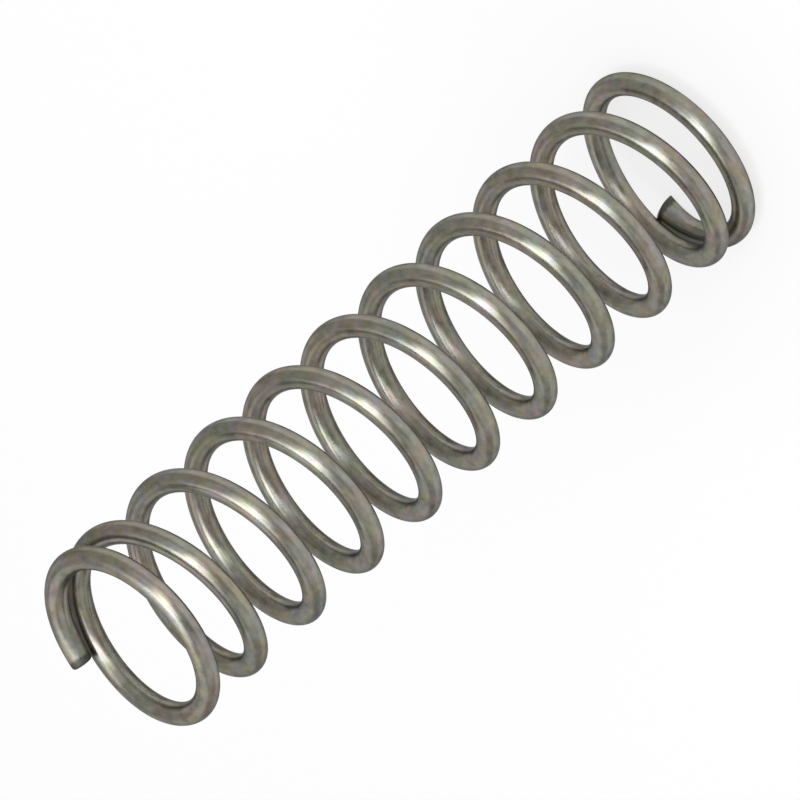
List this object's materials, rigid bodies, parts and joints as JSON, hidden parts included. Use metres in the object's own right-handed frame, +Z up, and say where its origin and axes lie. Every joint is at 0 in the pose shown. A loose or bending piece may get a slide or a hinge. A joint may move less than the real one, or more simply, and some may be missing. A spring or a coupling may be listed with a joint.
{
  "type": "compression spring",
  "caption": "Small round-wire compression spring: an even, right-hand coil with closed, unground ends cut square to the wire.",
  "frame": {"origin": "centre of the coil's foot, on the surface that the spring stands on", "axes": "+Z up along the coil's axis, from the bottom end to the top end"},
  "size_m": [0.009, 0.009, 0.036],
  "materials": {
    "spring_steel": "bright drawn wire with fine die lines along it and a thin warm grey film from stress relieving"
  },
  "bodies": {
    "root": {"coiled_wire": "spring_steel"}
  },
  "joints": []
}
